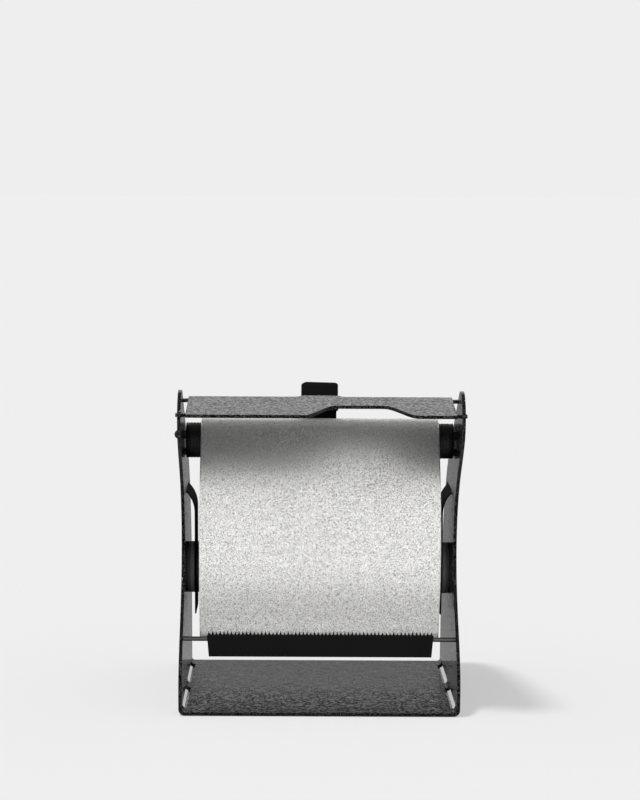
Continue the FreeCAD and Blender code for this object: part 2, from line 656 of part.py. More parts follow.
def make_roll_arm(side_name, sign):
    """One strap with its plug, rivet and pad. The left one has sign -1."""
    turn, low, hook_x, hook_z = arm_bends()
    turned = 180 - math.degrees(turn)
    inner_face = half_in - arm_in - arm_thick
    outer_face = half_in - arm_in
    shoulder = (outer_face + arm_bend, low)
    hook = (hook_x, hook_z)
    hook_inner = hook_x + lip_bend
    hook_outer = hook_inner + arm_thick
    lip_end = hook_z - lip_drop
    bottom = roll_height - arm_below

    def line(a, b):
        return Part.LineSegment(V(sign * a[0], a[1], 0), V(sign * b[0], b[1], 0))

    def bend(centre, radius, start, end):
        if sign < 0:
            return arc((-centre[0], centre[1]), radius, 180 - end, 180 - start)
        return arc(centre, radius, start, end)

    def leaving(centre, radius):
        """Point of a bend where the straight part through the plate starts."""
        return (centre[0] - radius * math.cos(turn), centre[1] + radius * math.sin(turn))

    edges = [
        line((inner_face, bottom), (inner_face, low)),
        bend(shoulder, arm_bend + arm_thick, turned, 180),
        line(leaving(shoulder, arm_bend + arm_thick), leaving(hook, lip_bend + arm_thick)),
        bend(hook, lip_bend + arm_thick, 0, turned),
        line((hook_outer, hook_z), (hook_outer, lip_end)),
        line((hook_outer, lip_end), (hook_inner, lip_end)),
        line((hook_inner, lip_end), (hook_inner, hook_z)),
        bend(hook, lip_bend, 0, turned),
        line(leaving(hook, lip_bend), leaving(shoulder, arm_bend)),
        bend(shoulder, arm_bend, turned, 180),
        line((outer_face, low), (outer_face, bottom)),
        line((outer_face, bottom), (inner_face, bottom)),
    ]
    strap = new_body("strap_%s" % side_name)
    section = new_sketch(strap, "strap_section_" + side_name, "XZ_Plane", edges)
    new_pad(strap, "strap_bent_" + side_name, section, "2 * (roll_back + arm_width)")

    middle = from_front(roll_back)
    half = arm_width / 2
    above = arm_top + 10 * arm_thick
    straight = half - arm_round
    round_height = bottom + arm_round
    outline = [
        Part.LineSegment(V(middle - half, round_height, 0), V(middle - half, above, 0)),
        Part.LineSegment(V(middle - half, above, 0), V(middle + half, above, 0)),
        Part.LineSegment(V(middle + half, above, 0), V(middle + half, round_height, 0)),
        arc((middle + straight, round_height), arm_round, 270, 360),
        Part.LineSegment(V(middle + straight, bottom, 0), V(middle - straight, bottom, 0)),
        arc((middle - straight, round_height), arm_round, 180, 270),
    ]
    shape = new_body("strap_outline_%s" % side_name)
    front = new_sketch(shape, "strap_front_" + side_name, "YZ_Plane", outline)
    new_pad(shape, "strap_shape_" + side_name, front, "2 * outer_width")
    new_pocket(shape, "strap_hole_" + side_name,
               new_sketch(shape, "strap_hole_circle_" + side_name, "YZ_Plane",
                          [hole(roll_back, roll_height, rivet_thick / 2 + run_clear)]))
    arm = doc.addObject("Part::Common", "arm_%s" % side_name)
    arm.Base = strap
    arm.Tool = shape
    keep(arm, "roll_arm_" + side_name)

    # Along X, every piece is laid from the middle outwards, and turned round for the left side.
    def lay(piece, out):
        turn = 90 if sign > 0 else -90
        piece.Placement = FreeCAD.Placement(V(), FreeCAD.Rotation(V(0, 1, 0), turn))
        bind(piece, ".Placement.Base.x", ("" if sign > 0 else "-") + "(" + out + ")")
        bind(piece, ".Placement.Base.y", "roll_back - base_depth / 2")
        bind(piece, ".Placement.Base.z", "roll_height")
        return piece

    def cylinder(name, radius, length, out):
        piece = doc.addObject("Part::Cylinder", name + "_" + side_name)
        bind(piece, "Radius", radius)
        bind(piece, "Height", length)
        return lay(piece, out)

    flange_face = "foil_width / 2 + hub_gap"
    flange = cylinder("flange", "hub_flange / 2", "flange_long", flange_face)
    nose = doc.addObject("Part::Cone", "nose_" + side_name)
    bind(nose, "Radius1", "core_bore / 2 - hub_clear - nose_taper")
    bind(nose, "Radius2", "core_bore / 2 - hub_clear")
    bind(nose, "Height", "nose_long")
    lay(nose, flange_face + " - nose_long")
    bore = cylinder("hub_bore", "rivet_thick / 2 + run_clear", "flange_long + nose_long",
                    flange_face + " - nose_long")
    recess = cylinder("hub_recess", "rivet_head / 2 + run_clear", "head_thick", flange_face + " - nose_long")
    plug = cut("plug_" + side_name, fuse("plug_solid_" + side_name, [flange, nose]),
               fuse("plug_hole_" + side_name, [bore, recess]))
    keep(plug, "hub_" + side_name)

    shank = cylinder("shank", "rivet_thick / 2", "flange_long + nose_long + arm_thick",
                     flange_face + " - nose_long")
    inner_head = cylinder("inner_head", "rivet_head / 2", "head_thick", flange_face + " - nose_long")
    outer_head = cylinder("outer_head", "rivet_head / 2", "head_thick", HALF_IN + " - arm_in")
    keep(fuse("rivet_" + side_name, [shank, inner_head, outer_head]), "hub_rivet_" + side_name)

    pad = cylinder("pad", "hub_flange / 2", "arm_in - arm_clear", HALF_IN + " - arm_in + arm_clear")
    pad_hole = cylinder("pad_hole", "pad_bore / 2", "arm_in", HALF_IN + " - arm_in")
    keep(cut("pad_ring_" + side_name, pad, pad_hole), "hub_pad_" + side_name)


def spring_angle():
    """Angle where the coil starts and ends. It leads the leg past the lever to the lever's front."""
    reach = lever_thick / 2 + spring_wire / 2 + run_clear
    return math.acos(-reach / math.hypot(spring_mean, spring_leg)) - math.atan2(spring_leg, spring_mean)


def spring_corner():
    """Distance from the end of the spring's first bend to the corner that it rounds."""
    lead = math.atan2(spring_pitch, 2 * math.pi * spring_mean)
    turn = math.pi / 2 - lead
    return spring_bend * math.tan(turn / 2)


def make_lever_rod():
    thread_out = "(outer_width / 2 + clip_thick)"
    rod = cross_cylinder("pivot_rod", "pivot_thick / 2", "2 * " + thread_out, "-" + thread_out,
                         "pivot_back", "pivot_height")
    keep(rod, "lever_rod")
    bore = "pivot_thick / 2 + run_clear"
    clips = [
        cross_tube("clip_left", "clip_out / 2", bore, "clip_thick", "-outer_width / 2 - clip_thick",
                   "pivot_back", "pivot_height"),
        cross_tube("clip_right", "clip_out / 2", bore, "clip_thick", "outer_width / 2",
                   "pivot_back", "pivot_height"),
    ]
    keep(group("rod_clips", clips), "lever_rod_clips")

    spring_room = "(spring_pitch * spring_turns + spring_wire + 2 * collar_gap)"
    right = cross_tube("collar_right", "collar_out / 2", bore, "collar_long",
                       "lever_width / 2 + collar_gap", "pivot_back", "pivot_height")
    left_start = "-lever_width / 2 - " + spring_room + " - collar_long"
    left = cross_tube("collar_left_ring", "collar_out / 2", bore, "collar_long",
                      left_start, "pivot_back", "pivot_height")
    pin_hole = cross_cylinder("collar_pin_hole", "spring_wire / 2 + run_clear", "collar_long",
                              left_start, "pivot_back", "pivot_height")
    angle = spring_angle()
    corner = spring_corner()
    aside = spring_mean * math.cos(angle) + corner * math.sin(angle)
    above = spring_mean * math.sin(angle) - corner * math.cos(angle)
    bind(pin_hole, ".Placement.Base.y", "pivot_back - base_depth / 2 + %.6f" % aside)
    bind(pin_hole, ".Placement.Base.z", "pivot_height + %.6f" % above)
    keep(group("collars", [right, cut("collar_left", left, pin_hole)]), "lever_collars")


def make_spring():
    """Torsion spring on the lever rod. One end sits in the left collar, the other hooks the lever."""
    centre = V(0, from_front(pivot_back), pivot_height)
    last = -lever_width / 2 - collar_gap - spring_wire / 2
    first = last - spring_pitch * spring_turns
    begin = spring_angle()

    def on_coil(turned):
        angle = begin + 2 * math.pi * turned
        return centre + V(first + spring_pitch * turned, math.cos(angle) * spring_mean, math.sin(angle) * spring_mean)

    def heading(turned):
        angle = begin + 2 * math.pi * turned
        around = V(0, -math.sin(angle), math.cos(angle)) * (2 * math.pi * spring_mean)
        return (around + V(spring_pitch, 0, 0)).normalize()

    def bend(corner, arriving, leaving):
        """Rounded corner: where the round starts, where it ends, and the arc between."""
        turn = arriving.getAngle(leaving)
        back = spring_bend * math.tan(turn / 2)
        start = corner - arriving * back
        end = corner + leaving * back
        hub = start + (leaving - arriving * leaving.dot(arriving)).normalize() * spring_bend
        bulge = hub + (corner - hub).normalize() * spring_bend
        return start, end, Part.Arc(start, bulge, end).toShape()

    right = V(1, 0, 0)
    pin_corner = on_coil(0) - heading(0) * spring_corner()
    pin_bend_start, coil_start, pin_arc = bend(pin_corner, right, heading(0))
    pin_tip = pin_bend_start - right * spring_pin
    edges = [Part.LineSegment(pin_tip, pin_bend_start).toShape(), pin_arc]
    quarters = int(spring_turns * 4)
    for step in range(quarters):
        a = step / 4
        b = (step + 1) / 4
        edges += biarc(on_coil(a), heading(a), on_coil(b), heading(b))
    leaving = V(0, -math.sin(begin), math.cos(begin))
    coil_end = on_coil(quarters / 4)
    # The leg leaves the coil square to the rod, through one small bend of its own.
    leg_corner = coil_end + leaving * (spring_leg + spring_wire / 2)
    hook_start, hook_end, hook_arc = bend(leg_corner, leaving, right)
    settle = coil_end + leaving * spring_wire
    edges += biarc(coil_end, heading(quarters / 4), settle, leaving)
    edges += [
        Part.LineSegment(settle, hook_start).toShape(),
        hook_arc,
        Part.LineSegment(hook_end, hook_end + right * spring_hook).toShape(),
    ]
    wire = Part.Wire(edges)
    ring = Part.Circle(pin_tip, right, spring_wire / 2).toShape()
    spring = doc.addObject("Part::Feature", "spring_coil")
    spring.Shape = wire.makePipeShell([Part.Wire(ring)], True, False)
    keep(spring, "lever_spring")

    points = [on_coil(step / 48) for step in range(quarters * 12 + 1)]
    least = min((a - b).Length for n, a in enumerate(points) for b in points[n + 30:])
    expected = wire.Length * math.pi * spring_wire * spring_wire / 4
    print("lever spring: least gap to itself %.2f mm, volume %.3f of section times length" % (
        least - spring_wire, spring.Shape.Volume / expected))


def make_brake_lever():
    pivot = (from_front(pivot_back), pivot_height)
    angle = math.radians(shoe_angle)
    outward = (math.cos(angle), math.sin(angle))
    back_of_shoe = roll_radius + shoe_gap + shoe_thick
    foot = (
        from_front(roll_back) + outward[0] * (back_of_shoe + lever_thick / 2),
        roll_height + outward[1] * (back_of_shoe + lever_thick / 2),
    )
    eye = "pivot_thick / 2 + run_clear + lever_thick"
    half = "-lever_width / 2"
    barrel = cross_cylinder("lever_eye", eye, "lever_width", half, "pivot_back", "pivot_height")

    def strip(name, start, long, angle_deg):
        """Flat strip of the lever's sheet, from a point, at an angle above level towards the back."""
        box = doc.addObject("Part::Box", name)
        bind(box, "Length", "lever_width")
        bind(box, "Height", "lever_thick")
        box.Width = long
        turn = FreeCAD.Rotation(V(1, 0, 0), angle_deg)
        drop = turn.multVec(V(0, 0, -lever_thick / 2))
        box.Placement = FreeCAD.Placement(V(0, start[0], start[1]) + drop, turn)
        bind(box, ".Placement.Base.x", half)
        return box

    along = shoe_angle - 90
    tangent = (math.cos(math.radians(along)), math.sin(math.radians(along)))
    knee = (foot[0] - tangent[0] * shoe_long / 2, foot[1] - tangent[1] * shoe_long / 2)
    run = knee[0] - pivot[0]
    rise = knee[1] - pivot[1]
    upper = strip("lever_upper", pivot, lever_top - pivot_height, 90)
    lower = strip("lever_lower", pivot, math.hypot(run, rise), math.degrees(math.atan2(rise, run)))
    foot_strip = strip("lever_foot", knee, shoe_long, along)
    knee_round = cross_cylinder("lever_knee", "lever_thick / 2", "lever_width", half, "pivot_back", "pivot_height")
    bind(knee_round, ".Placement.Base.y", "pivot_back - base_depth / 2 + %.6f" % run)
    bind(knee_round, ".Placement.Base.z", "pivot_height + %.6f" % rise)
    bore = cross_cylinder("lever_bore", "pivot_thick / 2 + run_clear", "lever_width", half,
                          "pivot_back", "pivot_height")

    def along_foot(name, radius, long, from_centre):
        """Cylinder square to the shoe, from a distance off the roll's axis outwards."""
        piece = doc.addObject("Part::Cylinder", name)
        bind(piece, "Radius", radius)
        piece.Height = long
        tilt = FreeCAD.Rotation(V(1, 0, 0), shoe_angle - 90)
        spot = V(0, from_front(roll_back) + outward[0] * from_centre, roll_height + outward[1] * from_centre)
        piece.Placement = FreeCAD.Placement(spot, tilt)
        return piece

    foot_top = back_of_shoe + lever_thick
    rivet_start = roll_radius + shoe_gap + shoe_thick / 2 - head_thick
    rivet_hole = along_foot("foot_hole", "shoe_rivet_thick / 2 + run_clear", shoe_thick + 2 * lever_thick,
                            rivet_start)
    solid = fuse("lever_solid", [barrel, upper, lower, knee_round, foot_strip])
    keep(cut("lever", solid, fuse("lever_holes", [bore, rivet_hole])), "brake_lever")

    block = doc.addObject("Part::Box", "shoe_block")
    bind(block, "Length", "lever_width")
    bind(block, "Width", "shoe_long")
    bind(block, "Height", "shoe_thick")
    turn = FreeCAD.Rotation(V(1, 0, 0), along)
    corner = turn.multVec(V(0, -shoe_long / 2, 0))
    base = V(0, from_front(roll_back) + outward[0] * (roll_radius + shoe_gap),
             roll_height + outward[1] * (roll_radius + shoe_gap))
    block.Placement = FreeCAD.Placement(base + corner, turn)
    bind(block, ".Placement.Base.x", half)
    curved = cross_cylinder("shoe_curve", "roll_radius + shoe_gap", "lever_width", half, "roll_back", "roll_height")
    shoe_hole = along_foot("shoe_hole", "shoe_rivet_thick / 2 + run_clear", 2 * shoe_thick, roll_radius)
    head_room = along_foot("shoe_recess", "shoe_rivet_thick + run_clear",
                           shoe_thick / 2 + shoe_gap, roll_radius)
    keep(cut("shoe", block, fuse("shoe_cuts", [curved, shoe_hole, head_room])), "brake_shoe")

    low_head = along_foot("low_head", "shoe_rivet_thick", head_thick, rivet_start)
    stem = along_foot("rivet_stem", "shoe_rivet_thick / 2", foot_top + head_thick - rivet_start, rivet_start)
    high_head = along_foot("high_head", "shoe_rivet_thick", head_thick, foot_top)
    keep(fuse("shoe_rivet_solid", [low_head, stem, high_head]), "shoe_rivet")


def make_finger_sleeve():
    body = new_body("sleeve_body")
    half_x = sleeve_width / 2
    half_y = sleeve_thick / 2
    outline = polygon([(-half_x, -half_y), (half_x, -half_y), (half_x, half_y), (-half_x, half_y)])
    block = body.newObject("PartDesign::Pad", "sleeve_block")
    block.Profile = new_sketch(body, "sleeve_outline", "XY_Plane", outline)
    bind(block, "Length", "sleeve_long")
    doc.recompute()
    rounded = []
    for number, edge in enumerate(block.Shape.Edges, 1):
        if edge.BoundBox.ZMax > 0.001:
            rounded.append("Edge%d" % number)
    rounds = body.newObject("PartDesign::Fillet", "sleeve_rounds")
    rounds.Base = (block, rounded)
    bind(rounds, "Radius", "sleeve_round")
    doc.recompute()
    body.Placement = FreeCAD.Placement(V(), FreeCAD.Rotation())
    bind(body, ".Placement.Base.y", "pivot_back - base_depth / 2")
    bind(body, ".Placement.Base.z", "sleeve_top - sleeve_long")

    room = doc.addObject("Part::Box", "sleeve_room")
    bind(room, "Length", "lever_width + 2 * run_clear")
    bind(room, "Width", "lever_thick + 2 * run_clear")
    bind(room, "Height", "lever_top - sleeve_top + sleeve_long + run_clear")
    bind(room, ".Placement.Base.x", "-lever_width / 2 - run_clear")
    bind(room, ".Placement.Base.y", "pivot_back - base_depth / 2 - lever_thick / 2 - run_clear")
    bind(room, ".Placement.Base.z", "sleeve_top - sleeve_long")
    return keep(cut("sleeve", body, room), "finger_sleeve")


def make_cutter():
    rod = cross_cylinder("cutter_rod_bar", "cutter_rod_thick / 2", "outer_width", "-outer_width / 2",
                         "cutter_rod_back", "cutter_rod_height")
    keep(rod, "cutter_rod")

    body = new_body("cutter_body")
    low = cutter_rod_height - cutter_below
    high = cutter_rod_height + cutter_above
    half = cutter_long / 2
    bar = polygon([
        (cutter_right - half, high),
        (cutter_right - half + cutter_taper, low),
        (cutter_right + half - cutter_taper, low),
        (cutter_right + half, high),
    ])
    new_pad(body, "cutter_bar_pad", new_sketch(body, "bar_outline", "XZ_Plane", bar), "cutter_thick")

    teeth = int(cutter_long / tooth_pitch)
    first = cutter_right - teeth * tooth_pitch / 2
    row = [(first, high - tooth_high)]
    for tooth in range(teeth):
        row.append((first + tooth * tooth_pitch, high))
        row.append((first + (tooth + 0.5) * tooth_pitch, high + tooth_high))
    row.append((first + teeth * tooth_pitch, high))
    row.append((first + teeth * tooth_pitch, high - tooth_high))
    blade = body.newObject("PartDesign::Pad", "toothed_edge")
    blade.Profile = new_sketch(body, "teeth", "XZ_Plane", polygon(row))
    blade.SideType = "Two sides"
    bind(blade, "Length", "cutter_thick / 2")
    bind(blade, "Length2", "tooth_thick - cutter_thick / 2")
    doc.recompute()
    body.Placement = FreeCAD.Placement(V(), FreeCAD.Rotation())
    bind(body, ".Placement.Base.y", "cutter_rod_back - base_depth / 2")

    bore = cross_cylinder("cutter_bore", "cutter_rod_thick / 2 + run_clear", "2 * cutter_long", "-cutter_long",
                          "cutter_rod_back", "cutter_rod_height")
    return keep(cut("cutter", body, bore), "cutter_bar")


make_frame()
make_fold_plate()
make_roller()
make_foil_roll()
make_foil_web()
make_roll_arm("left", -1)
make_roll_arm("right", 1)
make_lever_rod()
make_spring()
make_brake_lever()
make_finger_sleeve()
make_cutter()
doc.recompute()

for obj in doc.Objects:
    if "Invalid" in obj.State or "Error" in obj.State:
        raise RuntimeError("%s is %s" % (obj.Label, obj.State))
for sub_part in sub_parts:
    if sub_part.Shape.isNull() or not sub_part.Shape.isValid() or not sub_part.Shape.Solids:
        raise RuntimeError(sub_part.Label + " has no valid solid")

os.makedirs("parts", exist_ok=True)
for sub_part in sub_parts:
    sub_part.Shape.exportStep("parts/%s.step" % sub_part.Label)
    box = sub_part.Shape.BoundBox
    print("%-16s %d solid(s)  x %.1f to %.1f  y %.1f to %.1f  z %.1f to %.1f  %.2f cm3" % (
        sub_part.Label, len(sub_part.Shape.Solids), box.XMin, box.XMax, box.YMin, box.YMax,
        box.ZMin, box.ZMax, sub_part.Shape.Volume / 1000))
print("fold plate rests at %.2f degrees" % fold_tilt())
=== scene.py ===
import math
import random

import bmesh
import bpy
from mathutils import Matrix, Vector, noise


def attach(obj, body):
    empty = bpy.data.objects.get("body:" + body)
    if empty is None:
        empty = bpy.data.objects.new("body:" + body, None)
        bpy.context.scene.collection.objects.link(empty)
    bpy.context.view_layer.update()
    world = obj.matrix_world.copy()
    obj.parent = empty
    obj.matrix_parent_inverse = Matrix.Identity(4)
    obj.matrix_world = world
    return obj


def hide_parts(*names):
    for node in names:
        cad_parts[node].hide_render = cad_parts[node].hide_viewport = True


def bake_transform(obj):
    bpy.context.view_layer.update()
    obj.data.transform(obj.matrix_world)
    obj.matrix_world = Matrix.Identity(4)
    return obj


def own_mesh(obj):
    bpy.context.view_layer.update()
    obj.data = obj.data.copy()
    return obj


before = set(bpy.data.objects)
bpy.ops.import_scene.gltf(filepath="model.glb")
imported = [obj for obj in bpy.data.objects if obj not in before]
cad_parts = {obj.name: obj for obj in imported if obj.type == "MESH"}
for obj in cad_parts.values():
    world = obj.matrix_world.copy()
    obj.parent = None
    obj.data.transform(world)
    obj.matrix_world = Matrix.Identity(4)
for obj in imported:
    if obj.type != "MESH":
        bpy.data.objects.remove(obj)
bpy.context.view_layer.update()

MM = 0.001
BASE_DEPTH = 126.0


def at(x, back, height):
    """A point given in millimetres, with its depth counted from the base's front edge."""
    return Vector((x * MM, (back - BASE_DEPTH / 2) * MM, height * MM))


def link_to_scene(thing):
    bpy.context.scene.collection.objects.link(thing)


# Camera, solved from the photograph's edges. Angles are in degrees.

IMAGE_WIDTH = 640.0
FOCAL_PX = 2110.0
SHIFT_PX = (19.2, 184.9)
SENSOR_WIDTH = 36.0
CAMERA_SPOT = (-17.8, -1076.2, 273.6)
CAMERA_PITCH = 10.70
CAMERA_YAW = 0.41
CAMERA_ROLL = -0.35


def make_camera():
    pitch = math.radians(CAMERA_PITCH)
    yaw = math.radians(CAMERA_YAW)
    roll = math.radians(CAMERA_ROLL)
    level = Vector((math.sin(yaw), math.cos(yaw), 0))
    ahead = level * math.cos(pitch) - Vector((0, 0, math.sin(pitch)))
    side = Vector((math.cos(yaw), -math.sin(yaw), 0))
    above = side.cross(ahead)
    right = side * math.cos(roll) - above * math.sin(roll)
    up = side * math.sin(roll) + above * math.cos(roll)
    data = bpy.data.cameras.new("camera")
    data.sensor_fit = "HORIZONTAL"
    data.sensor_width = SENSOR_WIDTH
    data.lens = FOCAL_PX / IMAGE_WIDTH * data.sensor_width
    data.shift_x = SHIFT_PX[0] / IMAGE_WIDTH
    data.shift_y = SHIFT_PX[1] / IMAGE_WIDTH
    data.clip_start = 0.05
    data.clip_end = 200.0
    camera = bpy.data.objects.new("camera", data)
    turn = Matrix((right, up, -ahead)).transposed().to_4x4()
    camera.matrix_world = Matrix.Translation(at(*CAMERA_SPOT)) @ turn
    link_to_scene(camera)
    bpy.context.scene.camera = camera


make_camera()


# Node helpers

def grey(level):
    return (level, level, level, 1)


def feed(tree, socket, value):
    """Link an output to a socket, or write a plain value there."""
    if isinstance(value, bpy.types.NodeSocket):
        tree.links.new(value, socket)
    else:
        socket.default_value = value


def add_node(tree, kind, inputs=None, **settings):
    node = tree.nodes.new(kind)
    for key, value in settings.items():
        setattr(node, key, value)
    for key, value in (inputs or {}).items():
        feed(tree, node.inputs[key], value)
    return node


def add_ramp(tree, value, stops):
    """A colour ramp with its stops given as (position, grey level or colour)."""
    node = add_node(tree, "ShaderNodeValToRGB", {"Fac": value})
    ends = node.color_ramp.elements
    while len(ends) < len(stops):
        ends.new(0.5)
    for end, (position, tone) in zip(ends, stops):
        end.position = position
        end.color = grey(tone) if isinstance(tone, float) else (*tone, 1)
    return node.outputs["Color"]


class Nodes:
    """A material and its nodes. Textures lie in the object's own frame, in metres."""

    SOCKETS = {
        "color": "Base Color", "metallic": "Metallic", "roughness": "Roughness", "ior": "IOR",
        "specular": "Specular IOR Level", "normal": "Normal",
    }

    def __init__(self, name):
        self.material = bpy.data.materials.new(name)
        self.material.use_nodes = True
        self.tree = self.material.node_tree
        self.shader = self.tree.nodes["Principled BSDF"]
        self.output = self.tree.nodes["Material Output"]
        self.place = self.add("ShaderNodeTexCoord").outputs["Object"]

    def add(self, kind, inputs=None, **settings):
        return add_node(self.tree, kind, inputs, **settings)

    def set(self, **values):
        for key, value in values.items():
            feed(self.tree, self.shader.inputs[self.SOCKETS[key]], value)

    def vector(self, operation, a, b):
        return self.add("ShaderNodeVectorMath", {0: a, 1: b}, operation=operation).outputs[0]

    def math(self, operation, a, b=0.0):
        return self.add("ShaderNodeMath", {0: a, 1: b}, operation=operation).outputs[0]

    def noise(self, scale, detail, rough=0.5, distortion=0.0, where=None):
        node = self.add("ShaderNodeTexNoise", {
            "Vector": where or self.place, "Scale": scale, "Detail": detail,
            "Roughness": rough, "Distortion": distortion,
        })
        return node.outputs["Fac"]

    def veins(self, scale, detail, rough=0.5, distortion=0.0):
        """0 along winding lines, and more away from them."""
        value = self.noise(scale, detail, rough, distortion)
        return self.math("ABSOLUTE", self.math("SUBTRACT", value, 0.5))

    def cells(self, scale, where=None):
        inputs = {"Vector": where or self.place, "Scale": scale}
        return self.add("ShaderNodeTexVoronoi", inputs).outputs["Distance"]

    def ramp(self, value, stops):
        return add_ramp(self.tree, value, stops)

    def span(self, value, low, high, to_low, to_high):
        node = self.add("ShaderNodeMapRange", {
            "Value": value, "From Min": low, "From Max": high, "To Min": to_low, "To Max": to_high,
        })
        return node.outputs["Result"]

    def bump(self, height, distance, strength=1.0):
        inputs = {"Height": height, "Distance": distance, "Strength": strength}
        return self.add("ShaderNodeBump", inputs).outputs["Normal"]


# Materials. Bump depths are in metres.

def hammered_paint(name, level):
    """Black paint that dries flat and glossy, broken by small pits and wandering furrows."""
    push = 0.0014
    plain_depth = 0.00010
    inner_depth = 0.00008
    outer_extra = 0.00025
    edge_extra = 0.0005
    base_extra = 0.00006
    base_front_extra = 0.00020

    m = Nodes(name)
    warp = m.add("ShaderNodeTexNoise", {"Vector": m.place, "Scale": 420.0, "Detail": 1.0})
    pushed = m.vector("MULTIPLY", warp.outputs["Color"], (push, push, push))
    where = m.vector("ADD", m.place, pushed)
    pits = m.span(m.cells(430.0, where), 0.05, 0.42, 0.0, 1.0)
    furrows = m.span(m.veins(scale=300.0, detail=1.0), 0.0, 0.045, 0.25, 1.0)
    swell = m.noise(scale=150.0, detail=1.0)
    flat = m.math("MINIMUM", pits, furrows)
    relief = m.math("ADD", flat, m.math("MULTIPLY", swell, 0.6))

    # The paint lies smooth on the plates' inner faces and gathers on the cut edges at the front.
    facing = m.add("ShaderNodeSeparateXYZ", {0: m.add("ShaderNodeTexCoord").outputs["Normal"]})
    spot = m.add("ShaderNodeSeparateXYZ", {0: m.place})
    inward = m.math("MULTIPLY", facing.outputs["X"], spot.outputs["X"])
    inner = m.span(inward, -0.07, -0.035, 1.0, 0.0)
    outer = m.span(inward, 0.035, 0.07, 0.0, 1.0)
    ahead = m.span(facing.outputs["Y"], -0.9, -0.4, 1.0, 0.0)
    depth = m.math("ADD", m.span(inner, 0.0, 1.0, plain_depth, inner_depth),
                   m.math("MULTIPLY", outer, outer_extra))
    gloss = m.span(flat, 0.0, 1.0, 0.34, 0.15)

    # Its furrows show blackest near the base's front edge.
    low = m.span(spot.outputs["Z"], 0.004, 0.008, 1.0, 0.0)
    near = m.math("MULTIPLY", m.span(spot.outputs["Y"], -0.058, 0.005, 1.0, 0.0), low)
    share = m.math("ADD", m.math("MULTIPLY", near, 0.9), m.math("MULTIPLY", low, 0.25))
    dulled = m.math("MULTIPLY", share, m.span(flat, 0.1, 0.95, 0.5, 0.0))
    lines = m.math("SUBTRACT", 0.5, dulled)
    extra = m.math("ADD", m.math("MULTIPLY", low, base_extra),
                   m.math("MULTIPLY", near, base_front_extra))
    depth = m.math("ADD", depth, m.math("MULTIPLY", extra, m.math("SUBTRACT", 1.0, inner)))
    depth = m.math("ADD", depth, m.math("MULTIPLY", ahead, edge_extra))
    specks = m.span(m.noise(scale=1300.0, detail=1.0), 0.46, 0.64, 0.02, 1.0)
    shine = m.add("ShaderNodeMix", {"Factor": ahead, "A": lines, "B": specks})
    # Painted shade: the colour is darker in the pits and furrows of the relief than on its crests.
    m.set(
        color=m.ramp(flat, [(0.0, level * 0.3), (1.0, level * 1.2)]),
        roughness=m.math("MULTIPLY", gloss, m.span(inner, 0.0, 1.0, 1.0, 0.6)), ior=1.42,
        specular=shine.outputs["Result"],
        normal=m.bump(relief, depth),
    )
    return m.material


def foil(name):
    """Bright foil with a fine winding embossing, and painted shade along its grooves."""
    m = Nodes(name)
    grain = m.span(m.veins(scale=1450.0, detail=0.0, distortion=0.6), 0.0, 0.08, 0.0, 1.0)
    crumple = m.noise(scale=260.0, detail=2.0, rough=0.6)
    slow = m.noise(scale=24.0, detail=2.0)
    relief = m.math("ADD", grain, m.math("MULTIPLY", crumple, 0.25))
    # Painted shade: the colour falls to a dark grey along the embossed grooves and stays bright
    # foil between them.
    painted_groove_shade = m.add("ShaderNodeMix", {
        "Factor": grain, "A": (0.34, 0.337, 0.33, 1), "B": (1.0, 0.995, 0.98, 1),
    }, data_type="RGBA")
    m.set(
        color=painted_groove_shade.outputs["Result"], metallic=1.0,
        roughness=m.span(slow, 0.3, 0.7, 0.42, 0.48),
        normal=m.bump(relief, 0.00014),
    )
    return m.material


def rubber(name, level, rough, shine):
    """Black rubber with fine pores and slow stains."""
    m = Nodes(name)
    pores = m.noise(scale=2600.0, detail=3.0)
    stains = m.noise(scale=90.0, detail=2.0)
    m.set(
        color=m.ramp(stains, [(0.3, level * 0.8), (0.7, level * 1.25)]),
        roughness=m.span(stains, 0.3, 0.7, rough - 0.06, rough + 0.08), specular=shine,
        normal=m.bump(pores, 0.00005, 0.6),
    )
    return m.material


def black_paint(name, level, rough, shine):
    """Thin black paint with a slight peel, a little worn."""
    m = Nodes(name)
    peel = m.noise(scale=900.0, detail=2.0)
    wear = m.noise(scale=60.0, detail=3.0)
    m.set(
        color=m.ramp(wear, [(0.3, level * 0.85), (0.7, level * 1.2)]),
        roughness=m.span(wear, 0.3, 0.7, rough - 0.04, rough + 0.06), specular=shine,
        normal=m.bump(peel, 0.00003, 0.5),
    )
    return m.material


def steel(name, level, rough):
    """Drawn or turned steel, with fine marks that run round the bar."""
    m = Nodes(name)
    across = m.vector("MULTIPLY", m.place, (1.0, 0.05, 0.05))
    marks = m.noise(scale=9000.0, detail=2.0, rough=0.6, where=across)
    haze = m.noise(scale=120.0, detail=3.0)
    m.set(
        color=m.ramp(haze, [(0.25, level * 0.85), (0.75, level * 1.1)]), metallic=1.0,
        roughness=m.span(marks, 0.3, 0.7, rough - 0.07, rough + 0.1),
        normal=m.bump(marks, 0.00001, 0.4),
    )
    return m.material


def board(name):
    """Brown wound cardboard."""
    m = Nodes(name)
    fibres = m.noise(scale=1200.0, detail=4.0, rough=0.7)
    plies = m.noise(scale=160.0, detail=3.0)
    m.set(
        color=m.ramp(fibres, [(0.3, (0.30, 0.20, 0.11)), (0.7, (0.47, 0.34, 0.20))]),
        roughness=m.span(plies, 0.3, 0.7, 0.75, 0.9),
        normal=m.bump(fibres, 0.00008, 0.5),
    )
    return m.material


def pad_rubber(name):
    """Soft grey rubber, darker in the ring against the plate."""
    m = Nodes(name)
    pores = m.cells(2100.0)
    spot = m.add("ShaderNodeSeparateXYZ", {0: m.place})
    out = m.math("ABSOLUTE", spot.outputs["X"])
    m.set(
        color=m.ramp(m.span(out, 0.0702, 0.0706, 0.0, 1.0), [(0.0, 0.55), (1.0, 0.20)]),
        roughness=m.span(pores, 0.0, 1.0, 0.6, 0.8), specular=0.3,
        normal=m.bump(pores, 0.00006, 0.6),
    )
    return m.material


